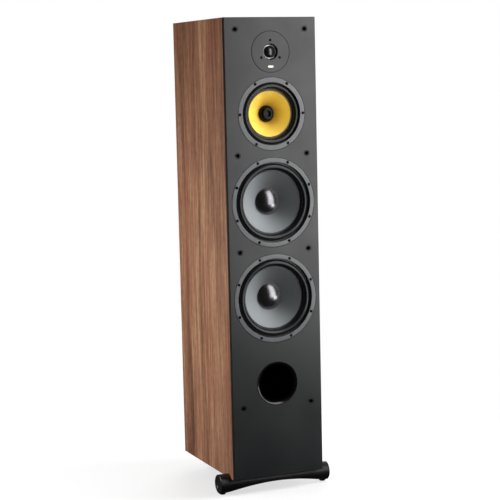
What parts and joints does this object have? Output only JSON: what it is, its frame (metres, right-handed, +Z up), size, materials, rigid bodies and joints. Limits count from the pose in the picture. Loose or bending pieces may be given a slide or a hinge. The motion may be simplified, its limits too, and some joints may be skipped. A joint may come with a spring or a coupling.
{
  "type": "floorstanding loudspeaker",
  "caption": "Tall three-way bass-reflex loudspeaker in a walnut cabinet with a black baffle, silver woofers, a yellow woven midrange, a dome tweeter and round foot bars.",
  "frame": {"origin": "on the floor at the centre of the footprint", "axes": "+Z up, -Y out of the front baffle, +X to the right seen from the front"},
  "size_m": [0.296, 0.343, 1.165],
  "materials": {
    "walnut_veneer": "satin open-grain veneer, grain running up the cabinet",
    "baffle_black": "satin black lacquer",
    "fibreboard": "bare cut fibreboard",
    "fibre_wadding": "matt lofty fibre",
    "black_plastic": "fine satin moulding",
    "port_black": "semi-gloss moulding",
    "foot_black": "satin black powder coat",
    "foot_rubber": "matt",
    "zinc_steel": "plated",
    "screw_black": "black oxide",
    "frame_grey": "satin grey powder coat",
    "woofer_cone": "satin silver-grey coated fibre",
    "woven_cone": "resin-coated yellow aramid weave",
    "surround_rubber": "semi-matt",
    "cap_gloss": "gloss black",
    "plug_black": "satin",
    "spider_cloth": "resin-stiffened cloth",
    "coil_copper": "lacquered copper wire",
    "ferrite": "matt ceramic",
    "dome_metal": "dark anodised",
    "ring_silver": "bright turned",
    "badge_silver": "satin",
    "post_brass": "gold plated",
    "post_red": "translucent gloss",
    "post_black": "gloss",
    "board_green": "solder mask",
    "capacitor_film": "wrapped film",
    "resistor_ceramic": "matt cement",
    "cable_black": "matt jacket"
  },
  "bodies": {
    "cabinet": {"side_panel_left": "walnut_veneer", "side_panel_right": "walnut_veneer", "top_panel": "walnut_veneer", "bottom_panel": "walnut_veneer", "rear_panel": "walnut_veneer", "front_baffle": "baffle_black", "chamber_divider": "fibreboard", "cabinet_braces": "fibreboard", "damping_wadding": "fibre_wadding", "grille_sockets": "black_plastic", "port_tube": "port_black", "foot_bar_front": "foot_black", "foot_bar_rear": "foot_black", "foot_pads": "foot_rubber", "foot_bolts": "zinc_steel", "terminal_cup": "black_plastic", "binding_post_studs": "post_brass", "crossover_board": "board_green", "crossover_coils": "coil_copper", "crossover_capacitors": "capacitor_film", "crossover_resistors": "resistor_ceramic", "panel_screws": "zinc_steel", "wiring_harness": "cable_black", "driver_screws": "screw_black", "tweeter_faceplate": "frame_grey", "tweeter_clamp_ring": "ring_silver", "tweeter_surround": "surround_rubber", "tweeter_motor": "zinc_steel", "tweeter_screws": "screw_black", "tweeter_badge": "badge_silver", "mid_basket": "frame_grey", "mid_surround": "surround_rubber", "mid_phase_plug": "plug_black", "mid_spider": "spider_cloth", "mid_magnet": "ferrite", "mid_pole_pieces": "zinc_steel", "woofer_upper_basket": "frame_grey", "woofer_upper_surround": "surround_rubber", "woofer_upper_spider": "spider_cloth", "woofer_upper_magnet": "ferrite", "woofer_upper_pole_pieces": "zinc_steel", "woofer_lower_basket": "frame_grey", "woofer_lower_surround": "surround_rubber", "woofer_lower_spider": "spider_cloth", "woofer_lower_magnet": "ferrite", "woofer_lower_pole_pieces": "zinc_steel"},
    "woofer_upper_cone_body": {"woofer_upper_cone": "woofer_cone", "woofer_upper_dust_cap": "cap_gloss", "woofer_upper_voice_coil": "coil_copper"},
    "woofer_lower_cone_body": {"woofer_lower_cone": "woofer_cone", "woofer_lower_dust_cap": "cap_gloss", "woofer_lower_voice_coil": "coil_copper"},
    "mid_cone_body": {"mid_cone": "woven_cone", "mid_voice_coil": "coil_copper"},
    "tweeter_dome_body": {"tweeter_dome": "dome_metal", "tweeter_voice_coil": "coil_copper"},
    "post_collar_red_body": {"post_collar_red": "post_red"},
    "post_knob_red_body": {"post_knob_red": "post_red"},
    "post_collar_black_body": {"post_collar_black": "post_black"},
    "post_knob_black_body": {"post_knob_black": "post_black"}
  },
  "joints": [
    {"name": "woofer_upper_travel", "type": "slide", "parent": "cabinet", "child": "woofer_upper_cone_body", "axis": [0, -1, 0], "range_m": [-0.006, 0.006], "stiffness_N_per_m": 900, "deforming": ["woofer_upper_surround", "woofer_upper_spider"]},
    {"name": "woofer_lower_travel", "type": "slide", "parent": "cabinet", "child": "woofer_lower_cone_body", "axis": [0, -1, 0], "range_m": [-0.006, 0.006], "stiffness_N_per_m": 900, "deforming": ["woofer_lower_surround", "woofer_lower_spider"]},
    {"name": "mid_travel", "type": "slide", "parent": "cabinet", "child": "mid_cone_body", "axis": [0, -1, 0], "range_m": [-0.0025, 0.0025], "stiffness_N_per_m": 1100, "deforming": ["mid_surround", "mid_spider"]},
    {"name": "tweeter_travel", "type": "slide", "parent": "cabinet", "child": "tweeter_dome_body", "axis": [0, -1, 0], "range_m": [-0.0004, 0.0004], "stiffness_N_per_m": 1500, "deforming": ["tweeter_surround"]},
    {"name": "post_collar_red_lift", "type": "slide", "parent": "cabinet", "child": "post_collar_red_body", "axis": [0, 1, 0], "range_m": [0, 0.005]},
    {"name": "post_knob_red_turn", "type": "hinge", "parent": "post_collar_red_body", "child": "post_knob_red_body", "pos_m": [-0.014, 0.157, 0.215], "axis": [0, 1, 0], "range_deg": [0, 1440]},
    {"name": "post_collar_black_lift", "type": "slide", "parent": "cabinet", "child": "post_collar_black_body", "axis": [0, 1, 0], "range_m": [0, 0.005]},
    {"name": "post_knob_black_turn", "type": "hinge", "parent": "post_collar_black_body", "child": "post_knob_black_body", "pos_m": [0.014, 0.157, 0.215], "axis": [0, 1, 0], "range_deg": [0, 1440]}
  ],
  "couplings": [
    {"joint": "post_knob_red_turn", "follows": "post_collar_red_lift", "rad_per_m": 5026.5},
    {"joint": "post_knob_black_turn", "follows": "post_collar_black_lift", "rad_per_m": 5026.5}
  ]
}
